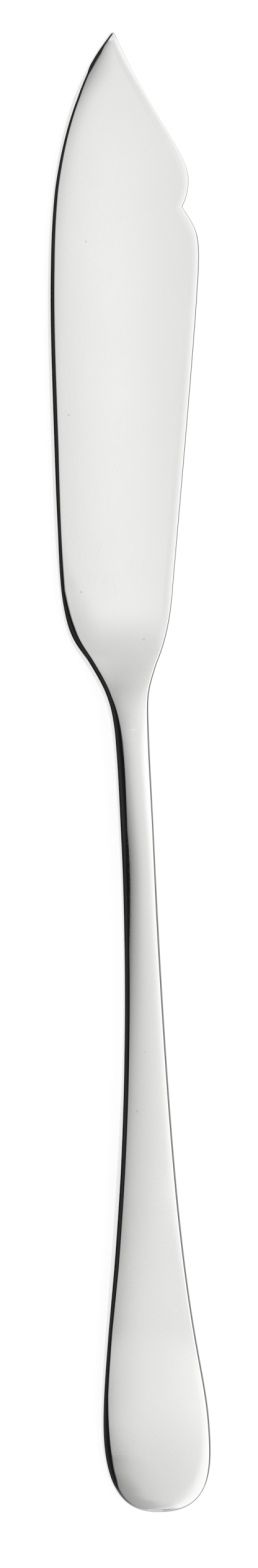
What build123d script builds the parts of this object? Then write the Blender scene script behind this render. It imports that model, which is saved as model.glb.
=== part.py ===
# Fish knife forged from one piece of polished stainless steel, lying on its flat back.
# +Y runs along the knife to its tip, +X lies towards the notched edge, and +Z points up.
# The origin is on the underside, in the middle of the length and of the blade's width.
from build123d import *
from math import sqrt
import os

# Main sizes
overall_length = 210.0
blade_width = 22.0
neck_width = 4.9
handle_width = 15.4
handle_axis = -0.5  # X of the line down the middle of the neck and the handle
tip_x = -0.4
tip_radius = 0.45

# Heights of the crown line over the table, and radii of the crown across the knife
tip_height = 1.8
blade_height = 2.0
neck_height = 3.4
handle_height = 2.7
butt_height = 1.9
blade_crown = 300.0
neck_crown = 7.0
handle_crown = 40.0

# Rise of the underside below the neck, and rounding of the edges
arch_rise = 0.8
top_edge_radius = 0.4
bottom_edge_radius = 0.3

# Places along the knife, down from the tip
nose_setback = 5.0  # two points of the plain edge between the tip and the belly
sweep_setback = 21.0
belly_setback = 55.0  # the blade's widest point on the plain edge
brow_setback = 16.0  # where the straight edge below the tip ends
bump_setback = 21.0
notch_setback = 25.0
shoulder_setback = 31.7
heel_setback = 90.0
throat_setback = 97.5  # where the heel's curves end in the neck
neck_setback = 115.0  # the narrowest point of the neck

# Places along the knife, up from the butt
handle_left_setback = 12.0  # the handle's widest points
handle_right_setback = 9.0
flare_setback = 40.0  # where the handle starts to flare
butt_turn_setback = 2.0

# Blade, measured in from the line along its widest point on the same side
nose_inset = 6.9
sweep_inset = 1.65
bump_inset = 1.3
notch_inset = 2.15
notch_gap = 0.3  # width of the rounded bottom of the notch
back_inset = 0.6  # where the shoulder's bend ends
back_drop = 7.3  # length of that bend
heel_start_rise = 10.0  # how far above the heel its curves begin
heel_start_left_inset = 0.6

# Heel, neck and handle, measured out from the handle's axis
heel_start_right_reach = 6.05
heel_left_reach = 6.2
heel_right_reach = 3.45
throat_left_reach = 3.45
throat_right_reach = 2.1
flare_left_reach = 5.05
flare_right_reach = 4.6
butt_turn_left_reach = 4.9
butt_turn_right_reach = 5.8
butt_shift = 0.5  # the butt's lowest point

# Headings of the outline, in degrees from straight down, positive to the right
tip_left_heading = -45.0
tip_right_heading = 26.5
nose_heading = -27.6
sweep_heading = -8.3
notch_in_heading = -24.0
notch_out_heading = 36.0
back_heading = -6.5
heel_start_left_heading = 3.0
heel_left_heading = 34.0
heel_right_heading = -22.0
throat_left_heading = 7.5
throat_right_heading = 1.0
neck_heading = 0.9
flare_left_heading = -5.9
flare_right_heading = 5.4
butt_turn_heading = 43.0

# The crown is lofted through this many even steps, on a die larger than the knife
crown_steps = 24
die_margin = 6.0

tip_y = overall_length / 2
butt_y = -overall_length / 2
half_blade = blade_width / 2
half_neck = neck_width / 2
half_handle = handle_width / 2
belly_y = tip_y - belly_setback
heel_y = tip_y - heel_setback
heel_start_y = heel_y + heel_start_rise
throat_y = tip_y - throat_setback
neck_y = tip_y - neck_setback
flare_y = butt_y + flare_setback
handle_y = butt_y + handle_left_setback


def heading(degrees):
    """Direction down the knife, turned by degrees towards the right."""
    return Vector(0, -1).rotate(Axis.Z, degrees)


def tangent_arcs(points):
    """Two tangent arcs between each pair of points, along the heading that each point gives.

    The arcs meet halfway between two control points, which stand at equal distances along the
    headings, such that the line between them is twice as long."""
    for (start_x, start_y, start_turn), (end_x, end_y, end_turn) in zip(points, points[1:]):
        start = Vector(start_x, start_y)
        end = Vector(end_x, end_y)
        leave = heading(start_turn)
        arrive = heading(end_turn)
        chord = end - start
        along = chord.dot(leave + arrive)
        spread = 2 * (1 - leave.dot(arrive))
        reach = chord.dot(chord) / (along + sqrt(along**2 + spread * chord.dot(chord)))
        joint = (start + leave * reach + end - arrive * reach) * 0.5
        first = TangentArc(start, joint, tangent=leave)
        TangentArc(joint, end, tangent=first % 1)


def ease(y, start, end):
    """Smooth step from 0 at start to 1 at end."""
    share = min(max((y - start) / (end - start), 0), 1)
    return share**2 * (3 - 2 * share)


def crown_height(y):
    """Height of the crown line: level along the blade, highest at the neck, falling to both ends.

    Near the butt it falls as a parabola, steeper and steeper towards the end."""
    to_tip = (tip_height - blade_height) * ease(y, belly_y, tip_y)
    to_neck = (neck_height - blade_height) * ease(y, heel_start_y, neck_y)
    to_handle = (handle_height - neck_height) * ease(y, neck_y, handle_y)
    fall_y = (flare_y + handle_y) / 2
    to_butt = (butt_height - handle_height) * max((y - fall_y) / (butt_y - fall_y), 0) ** 2
    return blade_height + to_tip + to_neck + to_handle + to_butt


def crown_curvature(y):
    """Curvature across the knife: slight on the blade, strong on the neck, and eased on the handle."""
    radius = neck_crown + (handle_crown - neck_crown) * ease(y, neck_y, handle_y)
    past_heel = ease(y, (heel_start_y + heel_y) / 2, (throat_y + neck_y) / 2)
    return 1 / blade_crown + (1 / radius - 1 / blade_crown) * past_heel


# Upper die: a block whose top has the crown's height and curvature all along the knife
die_reach = half_blade + abs(handle_axis) + die_margin
die_length = overall_length + 2 * die_margin
with BuildPart() as die:
    for step in range(crown_steps + 1):
        station = die_length * (step / crown_steps - 0.5)
        crest = crown_height(station)
        drop = die_reach**2 * crown_curvature(station) / 2
        with BuildSketch(Plane.XZ.offset(-station)):
            with BuildLine():
                crown = Bezier(
                    (handle_axis - die_reach, crest - drop),
                    (handle_axis, crest + drop),
                    (handle_axis + die_reach, crest - drop),
                )
                Polyline(
                    crown @ 1,
                    (handle_axis + die_reach, -die_length),
                    (handle_axis - die_reach, -die_length),
                    crown @ 0,
                )
            make_face()
    loft()

# Knife: the flat blank, bent to the underside, pressed to the crown, then rounded along its edges
with BuildPart() as knife:
    with BuildSketch(Plane.XY.offset(-die_margin)):
        with BuildLine():
            tip_center = Vector(tip_x, tip_y - tip_radius)
            tip_left = tip_center + heading(tip_left_heading - 90) * tip_radius
            tip_right = tip_center + heading(tip_right_heading + 90) * tip_radius
            tangent_arcs([(tip_x, tip_y, 90), (tip_right.X, tip_right.Y, tip_right_heading)])
            slope = heading(tip_right_heading)
            brow = tip_right + slope * ((tip_y - brow_setback - tip_right.Y) / slope.Y)
            Line(tip_right, brow)
            notch_x = half_blade - notch_inset
            notch_y = tip_y - notch_setback
            tangent_arcs(
                [
                    (brow.X, brow.Y, tip_right_heading),
                    (half_blade - bump_inset, tip_y - bump_setback, 0),
                    (notch_x, notch_y + notch_gap / 2, notch_in_heading),
                    (notch_x, notch_y - notch_gap / 2, notch_out_heading),
                    (half_blade, tip_y - shoulder_setback, 0),
                    (half_blade - back_inset, tip_y - shoulder_setback - back_drop, back_heading),
                    (handle_axis + heel_start_right_reach, heel_start_y, back_heading),
                    (handle_axis + heel_right_reach, heel_y, heel_right_heading),
                    (handle_axis + throat_right_reach, throat_y, throat_right_heading),
                    (handle_axis + half_neck, neck_y, neck_heading),
                    (handle_axis + flare_right_reach, flare_y, flare_right_heading),
                    (handle_axis + half_handle, butt_y + handle_right_setback, 0),
                    (handle_axis + butt_turn_right_reach, butt_y + butt_turn_setback, -butt_turn_heading),
                    (handle_axis + butt_shift, butt_y, -90),
                ]
            )
            tangent_arcs(
                [
                    (tip_x, tip_y, -90),
                    (tip_left.X, tip_left.Y, tip_left_heading),
                    (nose_inset - half_blade, tip_y - nose_setback, nose_heading),
                    (sweep_inset - half_blade, tip_y - sweep_setback, sweep_heading),
                    (-half_blade, belly_y, 0),
                    (heel_start_left_inset - half_blade, heel_start_y, heel_start_left_heading),
                    (handle_axis - heel_left_reach, heel_y, heel_left_heading),
                    (handle_axis - throat_left_reach, throat_y, throat_left_heading),
                    (handle_axis - half_neck, neck_y, neck_heading),
                    (handle_axis - flare_left_reach, flare_y, flare_left_heading),
                    (handle_axis - half_handle, handle_y, 0),
                    (handle_axis - butt_turn_left_reach, butt_y + butt_turn_setback, butt_turn_heading),
                    (handle_axis + butt_shift, butt_y, 90),
                ]
            )
        make_face()
    extrude(amount=neck_height + 2 * die_margin)
    with BuildSketch(Plane.YZ.offset(-die_reach)):
        with BuildLine():
            arch_middle = (flare_y + throat_y) / 2
            arch_pull = (throat_y - flare_y) / 4
            Bezier(
                (flare_y, 0),
                (flare_y + arch_pull, 0),
                (arch_middle - arch_pull, arch_rise),
                (arch_middle, arch_rise),
            )
            Bezier(
                (arch_middle, arch_rise),
                (arch_middle + arch_pull, arch_rise),
                (throat_y - arch_pull, 0),
                (throat_y, 0),
            )
            Polyline(
                (throat_y, 0),
                (die_length / 2, 0),
                (die_length / 2, die_length),
                (-die_length / 2, die_length),
                (-die_length / 2, 0),
                (flare_y, 0),
            )
        make_face()
    extrude(amount=2 * die_reach, mode=Mode.INTERSECT)
    add(die.part, mode=Mode.INTERSECT)
    fillet(knife.faces().sort_by(Axis.Z)[-1].edges(), radius=top_edge_radius)
    underside = knife.faces().filter_by(lambda face: face.normal_at().Z < -0.5)
    fillet(underside.edges().filter_by(Axis.X, reverse=True), radius=bottom_edge_radius)
knife.part.label = "fish_knife"

os.makedirs("parts", exist_ok=True)
export_step(knife.part, "parts/fish_knife.step")
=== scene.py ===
import math

import bmesh
import bpy
import numpy as np
from mathutils import Matrix, Vector


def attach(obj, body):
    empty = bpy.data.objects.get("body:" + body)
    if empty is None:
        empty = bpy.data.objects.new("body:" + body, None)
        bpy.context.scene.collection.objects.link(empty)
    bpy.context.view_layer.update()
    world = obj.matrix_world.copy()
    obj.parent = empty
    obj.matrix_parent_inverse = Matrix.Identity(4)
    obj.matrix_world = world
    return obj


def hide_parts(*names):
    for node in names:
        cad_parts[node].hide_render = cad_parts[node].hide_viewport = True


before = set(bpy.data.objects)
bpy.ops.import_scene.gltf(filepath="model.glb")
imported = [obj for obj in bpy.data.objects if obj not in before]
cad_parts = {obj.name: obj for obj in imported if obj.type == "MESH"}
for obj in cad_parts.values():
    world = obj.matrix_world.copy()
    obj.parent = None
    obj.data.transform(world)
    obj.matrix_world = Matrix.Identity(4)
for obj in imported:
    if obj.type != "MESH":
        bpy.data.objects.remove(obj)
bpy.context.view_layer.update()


# Fish knife: one piece of stainless steel, blade, neck and handle together.
# The blank is cut to outline, forged thicker at the neck, ground, and polished to a mirror all over,
# which leaves every edge softly rolled. Nothing is fixed to it.

MM = 0.001
half_length = 105.0
tip_y, butt_y = 104.999, -half_length  # the tip stays just inside the solid's box
belly_y, neck_y, handle_y = 50.0, -10.0, -93.0


def ease(value, start, end):
    """The smooth step s*s*(3 - 2s), where s runs from 0 at start to 1 at end."""
    s = np.clip((value - start) / (end - start), 0.0, 1.0)
    return s * s * (3.0 - 2.0 * s)


def outline_side(knots, per_piece=400):
    """One side of the outline as a chain of cubic Bezier curves, tip to butt, as points in mm.

    A knot is x, y, heading in degrees from straight down towards +X, and the two handle lengths,
    before and after it, as shares of the chord to its neighbour.
    """
    x, y, heading, before, after = np.array(knots).T
    place = np.stack([x, y], axis=1)
    way = np.stack([np.sin(np.radians(heading)), -np.cos(np.radians(heading))], axis=1)
    chord = np.linalg.norm(np.diff(place, axis=0), axis=1)[:, None]
    p0, p3 = place[:-1], place[1:]
    p1 = p0 + way[:-1] * chord * after[:-1, None]
    p2 = p3 - way[1:] * chord * before[1:, None]
    t = np.linspace(0.0, 1.0, per_piece, endpoint=False)[None, :, None]
    curve = (
        (1 - t) ** 3 * p0[:, None]
        + 3 * (1 - t) ** 2 * t * p1[:, None]
        + 3 * (1 - t) * t**2 * p2[:, None]
        + t**3 * p3[:, None]
    )
    return np.concatenate([curve.reshape(-1, 2), place[-1:]])


right_edge = outline_side([
    (-0.40, tip_y, 90.0, 0.00, 0.36),
    (-0.13, 104.80, 22.5, 0.36, 0.60),  # top of the straight edge
    (9.79, 84.00, 0.0, 0.17, 0.50),  # bump
    (8.82, 80.15, -27.0, 0.20, 0.35),  # notch, in
    (8.84, 79.85, 34.0, 0.35, 0.50),  # notch, out
    (11.00, 73.30, 0.0, 0.41, 0.09),  # shoulder
    (5.55, 25.00, -6.7, 0.22, 0.60),  # end of the back
    (2.77, 15.00, -19.5, 0.10, 0.22),  # heel
    (1.60, neck_y, 0.9, 0.88, 0.87),
    (7.18, -96.00, 0.0, 0.17, 0.55),  # widest point of the handle
    (0.00, butt_y, -90.0, 0.42, 0.00),
])
left_edge = outline_side([
    (-0.40, tip_y, -90.0, 0.00, 0.35),
    (-0.68, 104.88, -41.0, 0.35, 0.29),  # top of the plain edge
    (-10.998, belly_y, 0.0, 0.39, 0.90),
    (-6.74, 15.00, 30.5, 0.18, 0.26),  # heel
    (-3.20, neck_y, 0.9, 0.74, 0.52),
    (-8.20, handle_y, 0.0, 0.153, 0.80),
    (0.00, butt_y, 90.0, 0.20, 0.00),
])


def walk(edge, shares):
    """Points on an edge at these shares of its length, and the unit tangents there.

    At the tip and at the butt the edge runs straight across the knife.
    """
    run = np.concatenate([[0.0], np.cumsum(np.linalg.norm(np.diff(edge, axis=0), axis=1))])
    at = shares * run[-1]
    point = np.stack([np.interp(at, run, edge[:, k]) for k in (0, 1)], axis=1)
    slope = np.gradient(edge, run, axis=0)
    slope[[0, -1], 1] = 0.0
    along = np.stack([np.interp(at, run, slope[:, k]) for k in (0, 1)], axis=1)
    return point, along / np.linalg.norm(along, axis=1, keepdims=True)


# The ridge climbs the heel from blade to neck: its slope at each Y, summed over short steps to a height
heel_slopes = np.array([
    (27.0, 0.0), (14.4, 0.113), (12.1, 0.111), (10.8, 0.094), (9.5, 0.080), (6.1, 0.073), (6.0, 0.0),
])
heel_steps = 420
heel_y = np.linspace(heel_slopes[0, 0], heel_slopes[-1, 0], heel_steps + 1)
heel_step = (heel_y[0] - heel_y[-1]) / heel_steps
heel_slope = np.interp(-heel_y, -heel_slopes[:, 0], heel_slopes[:, 1])
heel_rise = np.concatenate([[0.0], np.cumsum((heel_slope[1:] + heel_slope[:-1]) / 2)]) * heel_step

# Height of the ridge on the blade, how far it falls elsewhere, and the radii across the knife, in mm
blade_height, tip_fall, handle_fall, butt_fall = 1.93, 0.6, 0.7, 0.8
blade_radius, neck_radius, handle_radius, butt_radius = 300.0, 8.0, 40.0, 160.0
butt_fall_y = -79.0
ridge_x = -0.5


def crown(x, y):
    """Height of the top before its edges are rounded, in mm.

    Along the ridge: the blade's height, less a parabola towards the tip, plus the rise at the heel, less
    a smooth step down the handle, less a parabola towards the butt. Across the knife: less the squared
    distance from the ridge over twice a radius, which is large on the blade, small at the neck and grows
    along the handle. The ridge wanders by up to 0.6 mm from side to side.
    """
    to_tip = np.clip((y - belly_y) / (half_length - belly_y), 0.0, None)
    to_butt = np.clip((y - butt_fall_y) / (butt_y - butt_fall_y), 0.0, None)
    height = (
        blade_height
        - tip_fall * to_tip**2
        + np.interp(-y, -heel_y, heel_rise)
        - handle_fall * ease(y, -30.0, -100.0)
        - butt_fall * to_butt**2
    )
    radius = (
        neck_radius
        + (handle_radius - neck_radius) * ease(y, neck_y, handle_y)
        + (butt_radius - handle_radius) * ease(y, -60.0, -95.0)
    )
    bend = 1 / blade_radius + (1 / radius - 1 / blade_radius) * ease(y, 17.0, 0.0)
    ridge = ridge_x - 0.45 * ease(y, 15.0, 6.0) + 1.05 * ease(y, 6.0, -16.0) - 0.6 * ease(y, -25.0, -80.0)
    return height - (x - ridge) ** 2 * bend / 2


arch_rise = 0.8
arch_front_y, arch_middle_y, arch_back_y = 7.5, -28.75, -65.0


def arch(y):
    """Height of the underside: flat under blade and handle, with a smooth step up from each to the neck."""
    front = ease(y, arch_front_y, arch_middle_y)
    rear = ease(y, arch_back_y, arch_middle_y)
    return arch_rise * np.where(y > arch_middle_y, front, rear)


# Rows across the knife lie closer together at the tip, at the notch, at the end of the heel and at the butt
row_count = 900
notch_share, heel_share = 0.122, 0.467
stations = np.linspace(0.0, 1.0, 6001)
crowding = (
    1.0
    + 30.0 * np.exp(-stations / 0.0015)
    + 4.0 * np.exp(-stations / 0.02)
    + 7.0 * np.exp(-(((stations - notch_share) / 0.008) ** 2))
    + 10.0 * np.exp(-(((stations - heel_share) / 0.006) ** 2))
    + 4.0 * np.exp(-(1.0 - stations) / 0.02)
)
spread = np.concatenate([[0.0], np.cumsum((crowding[1:] + crowding[:-1]) / 2)])
shares = np.interp(np.linspace(0.0, spread[-1], row_count), spread, stations)
left, left_way = walk(left_edge, shares)
right, right_way = walk(right_edge, shares)
left_in = np.stack([-left_way[:, 1], left_way[:, 0]], axis=1)
right_in = np.stack([right_way[:, 1], -right_way[:, 0]], axis=1)


def band(in_l, in_r, down_l, down_r, end_l, end_r, turns, columns):
    """Points across the knife from its left edge to its right edge, in mm.

    At each edge an arc of an ellipse, which stops at an end angle in degrees, goes in from the outline by
    that side's in length and down to the wall by its down length. Columns fill the space between, at even
    shares less a sine wave, which brings them closer together near the edges. Also gives how far the
    rounding drops each point, and its distance in from the left and from the right edge.
    """
    closeness = 0.85
    end_l, end_r = np.radians(end_l)[:, None], np.radians(end_r)[:, None]
    turn_l, turn_r = end_l * np.linspace(0.0, 1.0, turns), end_r * np.linspace(0.0, 1.0, turns)
    inset_l = in_l[:, None] * (1 - np.cos(turn_l)) / (1 - np.cos(end_l))
    inset_r = in_r[:, None] * (1 - np.cos(turn_r)) / (1 - np.cos(end_r))
    round_l = left[:, None] + left_in[:, None] * inset_l[:, :, None]
    round_r = right[:, None] + right_in[:, None] * inset_r[:, :, None]
    gap = round_r[:, -1] - round_l[:, -1]
    width = np.linalg.norm(gap, axis=1)[:, None]
    share = np.linspace(0.0, 1.0, columns + 2)[1:-1]
    share = share - closeness * np.sin(2 * math.pi * share) / (2 * math.pi)
    middle = round_l[:, -1:] + gap[:, None] * share[None, :, None]
    points = np.concatenate([round_l, middle, round_r[:, ::-1]], axis=1)
    drop_l = down_l[:, None] * (1 - np.sin(turn_l) / np.sin(end_l))
    drop_r = down_r[:, None] * (1 - np.sin(turn_r) / np.sin(end_r))
    drop = np.concatenate([drop_l, 0 * width * share, drop_r[:, ::-1]], axis=1)
    far = in_l[:, None] + in_r[:, None] + width
    from_l = np.concatenate([inset_l, in_l[:, None] + width * share, far - inset_r[:, ::-1]], axis=1)
    return points, drop, from_l, far - from_l


def rolled(distance, width, depth, power):
    """A power curve that falls by depth from width inside the edge out to the edge."""
    return depth * np.clip(1 - distance / width, 0.0, 1.0) ** power


def along_knife(y, table, column):
    """Straight lines between a table's places along the knife, averaged over 3 mm to turn softly.

    The stretch that is averaged shrinks to nothing at the tip and at the butt.
    """
    half_stretch = np.clip(half_length - np.abs(y), 0.0, 1.5)[:, None]
    nearby = y[:, None] + half_stretch * np.linspace(-1.0, 1.0, 7)
    return np.interp(nearby, table[:, 0], table[:, column]).mean(axis=1)[:, None]


along_l, along_r = left[:, 1], right[:, 1]

# Rounding of the left edge: Y, how far it goes in from the outline, and how far down
ground = np.array([
    (butt_y, 0.28, 0.28), (-103.0, 0.32, 0.30), (-101.4, 0.45, 0.32), (-100.2, 0.76, 0.34),
    (-97.0, 0.90, 0.32), (-94.0, 0.84, 0.32), (-88.0, 0.58, 0.28), (-79.0, 0.55, 0.36),
    (-70.0, 0.75, 0.70), (-57.0, 0.75, 0.70), (-40.0, 0.70, 0.36), (-23.0, 0.68, 0.28),
    (-14.0, 0.57, 0.32), (-7.0, 0.95, 0.38), (4.0, 1.05, 0.30), (10.5, 0.70, 0.55),
    (16.0, 0.92, 1.25), (20.5, 1.00, 0.85), (26.0, 0.62, 0.34), (34.0, 0.64, 0.85),
    (46.0, 0.78, 1.00), (59.0, 0.74, 0.92), (72.0, 0.70, 0.85), (83.0, 0.52, 0.45),
    (90.0, 0.55, 0.85), (96.0, 0.60, 1.10), (99.3, 0.48, 0.75), (100.4, 0.60, 0.34),
    (102.2, 0.58, 0.34), (103.3, 0.36, 0.32), (tip_y, 0.30, 0.30),
])
in_l, down_l = (np.interp(along_l, ground[:, 0], ground[:, k]) for k in (1, 2))

# Rounding of the right edge, in the same columns
trim = np.array([
    (butt_y, 0.28, 0.28), (-101.0, 0.34, 0.36), (-97.0, 0.46, 0.48), (-90.0, 0.50, 0.50),
    (-20.0, 0.48, 0.48), (-8.0, 0.38, 0.40), (10.0, 0.40, 0.40), (17.0, 0.34, 0.34),
    (25.0, 0.22, 0.22), (74.0, 0.26, 0.26), (82.0, 0.15, 0.15), (88.0, 0.08, 0.08),
    (100.0, 0.06, 0.06), (104.0, 0.12, 0.12), (tip_y, 0.30, 0.30),
])
in_r, down_r = (np.interp(along_r, trim[:, 0], trim[:, k]) for k in (1, 2))

# Soft roll that the polishing wheel leaves along the left edge: Y, width, depth and power
soft = np.array([
    (butt_y, 5.0, 0.24, 2.0), (-103.5, 7.0, 0.38, 2.2), (-100.8, 7.8, 0.385, 2.7), (-98.6, 6.6, 0.375, 3.3),
    (-94.7, 6.0, 0.47, 2.8), (-88.6, 6.0, 0.46, 2.6), (-79.5, 4.6, 0.26, 2.2), (-70.9, 4.0, 0.14, 2.0),
    (-62.0, 1.5, 0.04, 2.0), (8.0, 1.1, 0.04, 2.0), (15.0, 4.0, 0.14, 2.0), (20.0, 5.0, 0.17, 2.0),
    (24.0, 4.5, 0.07, 2.0), (28.0, 2.0, 0.03, 2.0), (34.0, 1.2, 0.015, 2.0), (46.0, 1.3, 0.015, 2.0),
    (59.0, 1.5, 0.025, 2.0), (72.5, 3.5, 0.035, 4.0), (83.0, 3.8, 0.055, 4.0), (90.0, 4.0, 0.080, 4.5),
    (96.0, 5.0, 0.140, 5.0), (100.8, 7.0, 0.21, 5.0), (103.4, 4.0, 0.176, 5.0), (tip_y, 1.5, 0.03, 4.0),
])
width_l, depth_l, power_l = (along_knife(along_l, soft, k) for k in (1, 2, 3))

# Narrower roll along the right edge: Y, width and depth, always with the same power
rim = np.array([
    (butt_y, 5.0, 0.24), (-103.8, 4.0, 0.13), (-100.8, 2.5, 0.09), (-96.0, 1.5, 0.06), (-90.0, 1.3, 0.05),
    (8.0, 1.3, 0.05), (13.0, 1.3, 0.02), (17.0, 1.3, 0.02), (21.0, 1.3, 0.08), (26.0, 1.3, 0.10),
    (70.0, 1.3, 0.09), (84.0, 1.3, 0.08), (92.0, 1.3, 0.08), (97.0, 1.3, 0.09), (101.0, 1.5, 0.14),
])
rim_power = 2.0
width_r, depth_r = (along_knife(along_r, rim, k) for k in (1, 2))

# Both rolls fade out at the tip, and both roundings end at the same angle there and at the butt
roll_end_y = 103.8
left_angle, right_angle, end_angle = 70.0, 88.0, 86.0
fade_l, fade_r = (ease(y, tip_y, roll_end_y)[:, None] for y in (along_l, along_r))
near_l, near_r = (ease(y, -102.0, butt_y) + ease(y, 104.0, tip_y) for y in (along_l, along_r))
angle_l = left_angle + (end_angle - left_angle) * near_l
angle_r = right_angle + (end_angle - right_angle) * near_r
top, top_drop, top_l, top_r = band(in_l, in_r, down_l, down_r, angle_l, angle_r, turns=11, columns=36)
top_z = (
    crown(top[..., 0], top[..., 1])
    - top_drop
    - rolled(top_l, width_l, depth_l * fade_l, power_l)
    - rolled(top_r, width_r, depth_r * fade_r, rim_power)
)

# Underside, with quarter rounds that are larger below the neck, and the walls between it and the top
low_radius, neck_low_radius = 0.25, 1.0
low_l, low_r = (
    low_radius + (neck_low_radius - low_radius) * ease(y, 16.0, 2.0) * ease(y, -60.0, -35.0)
    for y in (along_l, along_r)
)
square = np.full(row_count, 90.0)
low, low_drop, low_in_l, low_in_r = band(low_l, low_r, low_l, low_r, square, square, turns=6, columns=8)
low_z = arch(low[..., 1]) + low_drop
wall = np.linspace(0.0, 1.0, 5)[1:-1]
wall_r = top_z[:, -1:] + (low_z[:, -1:] - top_z[:, -1:]) * wall
wall_l = low_z[:, :1] + (top_z[:, :1] - low_z[:, :1]) * wall
loop = np.concatenate([
    np.concatenate([top, top_z[..., None]], axis=2),
    np.concatenate([np.repeat(right[:, None], len(wall), axis=1), wall_r[..., None]], axis=2),
    np.concatenate([low, low_z[..., None]], axis=2)[:, ::-1],
    np.concatenate([np.repeat(left[:, None], len(wall), axis=1), wall_l[..., None]], axis=2),
], axis=1)

# Wear is 1 at the edges and falls off exponentially with the distance in from them
wear_depth = 0.5
inward = np.concatenate([
    np.minimum(top_l, top_r),
    np.zeros_like(wall_r),
    np.minimum(low_in_l, low_in_r)[:, ::-1],
    np.zeros_like(wall_l),
], axis=1)

# Each row is a closed loop round the knife. At the tip and the butt it lies folded, and merging closes it
merge_gap = 2e-8
rows, columns = loop.shape[:2]
index = np.arange(rows * columns).reshape(rows, columns)
ahead = np.roll(index, -1, axis=1)
quads = np.stack([index[:-1], index[1:], ahead[1:], ahead[:-1]], axis=2).reshape(-1, 4)
knife_mesh = bpy.data.meshes.new("fish_knife_body")
knife_mesh.from_pydata((loop.reshape(-1, 3) * MM).tolist(), [], quads.tolist())
edge_wear = knife_mesh.attributes.new("edge_wear", "FLOAT", "POINT")
edge_wear.data.foreach_set("value", np.exp(-inward / wear_depth).ravel().astype(np.float32))
shell = bmesh.new()
shell.from_mesh(knife_mesh)
bmesh.ops.remove_doubles(shell, verts=shell.verts, dist=merge_gap)
bmesh.ops.recalc_face_normals(shell, faces=shell.faces)
shell.to_mesh(knife_mesh)
shell.free()
knife_mesh.polygons.foreach_set("use_smooth", np.ones(len(knife_mesh.polygons), bool))
knife = bpy.data.objects.new("fish_knife_body", knife_mesh)
bpy.context.scene.collection.objects.link(knife)


class Tap:
    """One node socket that works in arithmetic: every operator adds a Math node to its tree."""

    def __init__(self, tree, socket=None):
        self.tree = tree
        self.socket = socket

    def node(self, kind, settings=None, output=0, **sockets):
        """Adds a node, sets its settings or a ramp's stops, then values or links. Returns an output."""
        made = self.tree.nodes.new(kind)
        for name, value in (settings or {}).items():
            if name == "stops":
                for _ in value[2:]:
                    made.color_ramp.elements.new(0.5)
                for element, (position, level) in zip(made.color_ramp.elements, value):
                    element.position = position
                    element.color = (level, level, level, 1.0)
            else:
                setattr(made, name, value)
        for name, value in sockets.items():
            port = made.inputs[int(name[1:]) if name[1:].isdigit() else name.replace("_", " ")]
            if isinstance(value, Tap):
                self.tree.links.new(value.socket, port)
            else:
                port.default_value = value
        return Tap(self.tree, made.outputs[output] if made.outputs else None)

    def math(self, operation, *values):
        """A Math node of that operation on this socket and the values after it."""
        ports = {f"i{k}": value for k, value in enumerate((self, *values))}
        return self.node("ShaderNodeMath", {"operation": operation}, **ports)

    def step(self, low, high):
        """Eases from 0 to 1 while this socket goes from low to high."""
        ends = {"From_Min": low, "From_Max": high, "To_Min": 0.0, "To_Max": 1.0}
        return self.node("ShaderNodeMapRange", {"interpolation_type": "SMOOTHSTEP"}, Value=self, **ends)

    def __add__(self, other):
        return self.math("ADD", other)

    def __radd__(self, other):
        return self.math("ADD", other)

    def __sub__(self, other):
        return self.math("SUBTRACT", other)

    def __rsub__(self, other):
        return Tap(self.tree).node("ShaderNodeMath", {"operation": "SUBTRACT"}, i0=other, i1=self)

    def __mul__(self, other):
        return self.math("MULTIPLY", other)

    def __rmul__(self, other):
        return self.math("MULTIPLY", other)


steel = bpy.data.materials.new("polished_steel")
steel.use_nodes = True
steel.node_tree.nodes.clear()
tap = Tap(steel.node_tree)
place = tap.node("ShaderNodeTexCoord", output="Object")
worn = tap.node("ShaderNodeAttribute", {"attribute_name": "edge_wear"}, output="Fac")


def lines(turn, width, length):
    """Noise drawn out into lines of that width and length in mm, turned by degrees from the Y axis."""
    laid = tap.node(
        "ShaderNodeMapping",
        {"vector_type": "TEXTURE"},
        Vector=place,
        Rotation=(0.0, 0.0, math.radians(turn)),
        Scale=(width * MM, length * MM, width * MM),
    )
    return tap.node("ShaderNodeTexNoise", Vector=laid, Scale=1.0, Detail=2.0)


def tinted(share, under, over):
    """Mixes a colour, or a socket of one, over another by a share."""
    return tap.node("ShaderNodeMix", {"data_type": "RGBA"}, output=2, Factor=share, i6=under, i7=over)


# Fine lines from polishing run along the knife, and scratches from use cross it in three directions.
# Over both lie a haze, a fine grain and a few pits. The relief is in microns.
polish = lines(0.0, 0.11, 3.8)
scratches = lines(9.0, 0.07, 9.0).step(0.66, 0.72)
for turn, width, length in ((-24.0, 0.06, 6.0), (51.0, 0.06, 4.0)):
    scratches = scratches.math("MAXIMUM", lines(turn, width, length).step(0.67, 0.73))
haze = tap.node("ShaderNodeTexNoise", Vector=place, Scale=90.0, Detail=4.0)
grain = tap.node("ShaderNodeTexNoise", Vector=place, Scale=3600.0, Detail=1.0)
pits = 1 - tap.node("ShaderNodeTexVoronoi", Vector=place, Scale=200.0).step(0.02, 0.045)
clear_steel, hazy_steel = (0.76, 0.76, 0.755, 1), (0.80, 0.80, 0.79, 1)
scratched_steel, pitted_steel = (0.86, 0.86, 0.85, 1), (0.20, 0.19, 0.18, 1)
tone = tinted(haze, clear_steel, hazy_steel)
tone = tinted(scratches * (0.25 + worn * 0.5), tone, scratched_steel)
tone = tinted(pits * 0.25, tone, pitted_steel)
roughness = 0.032 + haze * 0.03 + polish * 0.016 + scratches * (0.03 + worn * 0.05) + pits * 0.1
micron = 0.001 * MM
relief = polish * 0.25 + grain * 1.2 - scratches * 0.4 - pits * 1.0
bump = tap.node("ShaderNodeBump", Height=relief, Strength=1.0, Distance=micron)
metal = tap.node(
    "ShaderNodeBsdfPrincipled", Base_Color=tone, Metallic=1.0, Roughness=roughness, Normal=bump
)
tap.node("ShaderNodeOutputMaterial", Surface=metal)
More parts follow.
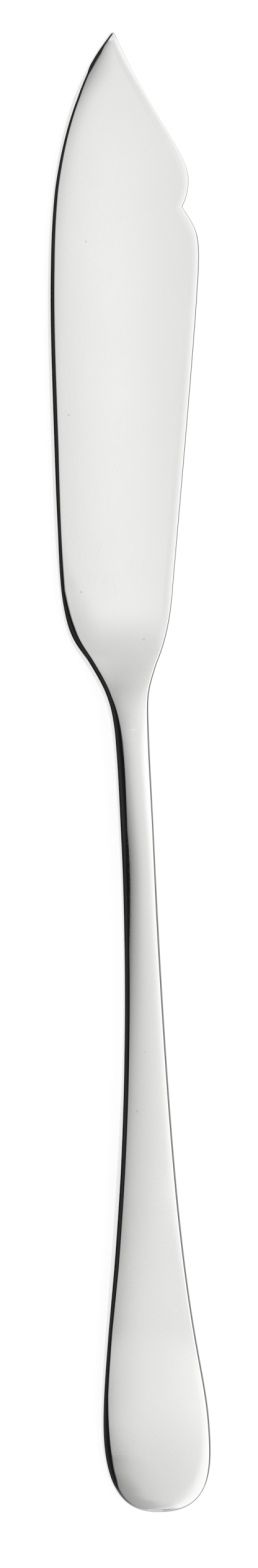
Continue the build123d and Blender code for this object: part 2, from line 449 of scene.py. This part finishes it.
knife_mesh.materials.append(steel)
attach(knife, "root")
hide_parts("fish_knife")

# Table: a large sheet of matt white paper, laid flat just below the knife, which keeps its soft shadow.
# It glows only where it is seen or mirrored: the steel mirrors it white to the left of the knife, and
# to its right that mirrored glow is dimmed by a painted shade.
reach, floor_z = 4.0, -2e-5
corners = [(-reach, -reach), (reach, -reach), (reach, reach), (-reach, reach)]
floor_mesh = bpy.data.meshes.new("table")
floor_mesh.from_pydata([(x, y, floor_z) for x, y in corners], [], [(0, 1, 2, 3)])
floor = bpy.data.objects.new("table", floor_mesh)
bpy.context.scene.collection.objects.link(floor)
paper = bpy.data.materials.new("white_paper")
paper.use_nodes = True
paper.node_tree.nodes.clear()
tap = Tap(paper.node_tree)
seen = tap.node("ShaderNodeLightPath", output="Is Camera Ray")
mirrored = tap.node("ShaderNodeLightPath", output="Is Glossy Ray")
across = tap.node("ShaderNodeSeparateXYZ", Vector=tap.node("ShaderNodeTexCoord", output="Object"))
white, painted_shade_grey = 0.91, 0.25
# Painted shade: the glow that the steel mirrors is dimmed to the right of the knife
shade = white - across.step(-3.0 * MM, 4.0 * MM) * (white - painted_shade_grey)
glow = tap.node("ShaderNodeEmission", Color=seen * white + mirrored * shade, Strength=1.0)
matt = tap.node("ShaderNodeBsdfDiffuse", Color=(0.22, 0.22, 0.22, 1))
tap.node("ShaderNodeOutputMaterial", Surface=tap.node("ShaderNodeAddShader", i0=glow, i1=matt))
floor_mesh.materials.append(paper)

# Studio: a tent of white cloth over the table, lit from outside, brighter to the right.
# The opening on its left is dark. Its lightness depends on direction alone: x_way, y_way and z_way
# are how far a direction goes to the right, towards the tip and up.
world = bpy.data.worlds.new("studio")
bpy.context.scene.world = world
world.use_nodes = True
world.node_tree.nodes.clear()
tap = Tap(world.node_tree)
split = tap.node("ShaderNodeSeparateXYZ", Vector=tap.node("ShaderNodeTexCoord", output="Generated"))
x_way, y_way, z_way = (Tap(tap.tree, split.socket.node.outputs[axis]) for axis in "XYZ")
down_way = 0 - y_way

# The cloth lightens from left to right. That shading slides to the right in directions that lean to the
# tip, to the left where they lean a little to the butt, and back to the right beyond that.
above = 0.165 * y_way.step(0.11, 0.25) * (1 - y_way.step(0.35, 0.50)) * (1 - x_way.step(0.28, 0.42))
far_below = 0.21 * down_way.step(0.135, 0.185) + 0.08 * down_way.step(0.24, 0.30)
far_below = far_below * (1 - down_way.step(0.60, 0.80)) * (1 - x_way.step(0.18, 0.34))
below = 0.15 * down_way.step(0.064, 0.106) - far_below
slid = x_way - above + below
tent_levels = [
    (0.32, 0.20), (0.395, 0.45), (0.448, 0.60), (0.50, 0.76), (0.5436, 0.845), (0.5868, 0.90),
    (0.63, 0.955), (0.671, 1.02), (0.719, 1.16), (0.787, 1.32), (0.883, 1.38),
]
tent = tap.node("ShaderNodeValToRGB", {"stops": tent_levels}, Fac=slid * 0.5 + 0.5)


def patch(middle, width):
    """A bell curve of x_way: e to the minus square of its distance from the middle over the width."""
    offset = (x_way - middle) * (1 / width)
    return (0 - offset * offset).math("EXPONENT")


# A soft light patch shines over the blade, with a faint one to its right. All of it dims to a half
# towards the table.
shine = 0.20 * y_way.step(0.006, 0.020) * (1 - y_way.step(0.08, 0.175)) * patch(0.158, 0.062)
glint = 0.05 * y_way.step(0.09, 0.12) * (1 - y_way.step(0.16, 0.20)) * patch(0.29, 0.055)
level = (tent + shine + glint) * (0.5 + 0.5 * z_way.step(0.25, 0.60))

# Below the cloth a dim gap runs along both sides, and the opening on the left is nearly black. The
# camera itself sees plain white.
cloth = 1 - (1 - z_way.step(0.40, 0.48)) * (1 - y_way.step(0.20, 0.35)) * (1 - down_way.step(0.3, 0.5))
level = level * cloth + 0.15 * (1 - cloth)
closed = 1 - (1 - x_way.step(-0.36, -0.34)) * (1 - down_way.step(0.45, 0.65))
gloom = 0.010 + 0.024 * z_way.step(0.3, 0.5) * (1 - z_way.step(0.6, 0.85))
level = level * closed + gloom * (1 - closed)
camera_ray = tap.node("ShaderNodeLightPath", output="Is Camera Ray")
level = level * (1 - camera_ray) + camera_ray
sky = tap.node("ShaderNodeBackground", Color=level, Strength=1.0)
tap.node("ShaderNodeOutputWorld", Surface=sky)

# Camera: 1.2 m above the knife on a long lens, leaning a little to the left.
# It is rolled so that the butt lies to the right of the tip, and frames a little more than the knife.
lean, roll, away = math.radians(10.0), math.radians(1.8), 1.2
frame_length = 222.39 * MM
aim = Vector((-1.46 * MM, -1.64 * MM, 1.0 * MM))
back = Vector((-math.sin(lean), 0.0, math.cos(lean)))
up = Vector((math.sin(roll) * math.cos(lean), math.cos(roll), math.sin(roll) * math.sin(lean)))
side = up.cross(back)
eye = bpy.data.cameras.new("camera")
eye.sensor_width = 36.0
eye.lens = eye.sensor_width * away / frame_length
eye.clip_end = 50.0
camera = bpy.data.objects.new("camera", eye)
bpy.context.scene.collection.objects.link(camera)
turned = Matrix((side, up, back)).transposed().to_4x4()
camera.matrix_world = Matrix.Translation(aim + back * away) @ turned
bpy.context.scene.camera = camera
bpy.context.scene.view_settings.view_transform = "Standard"
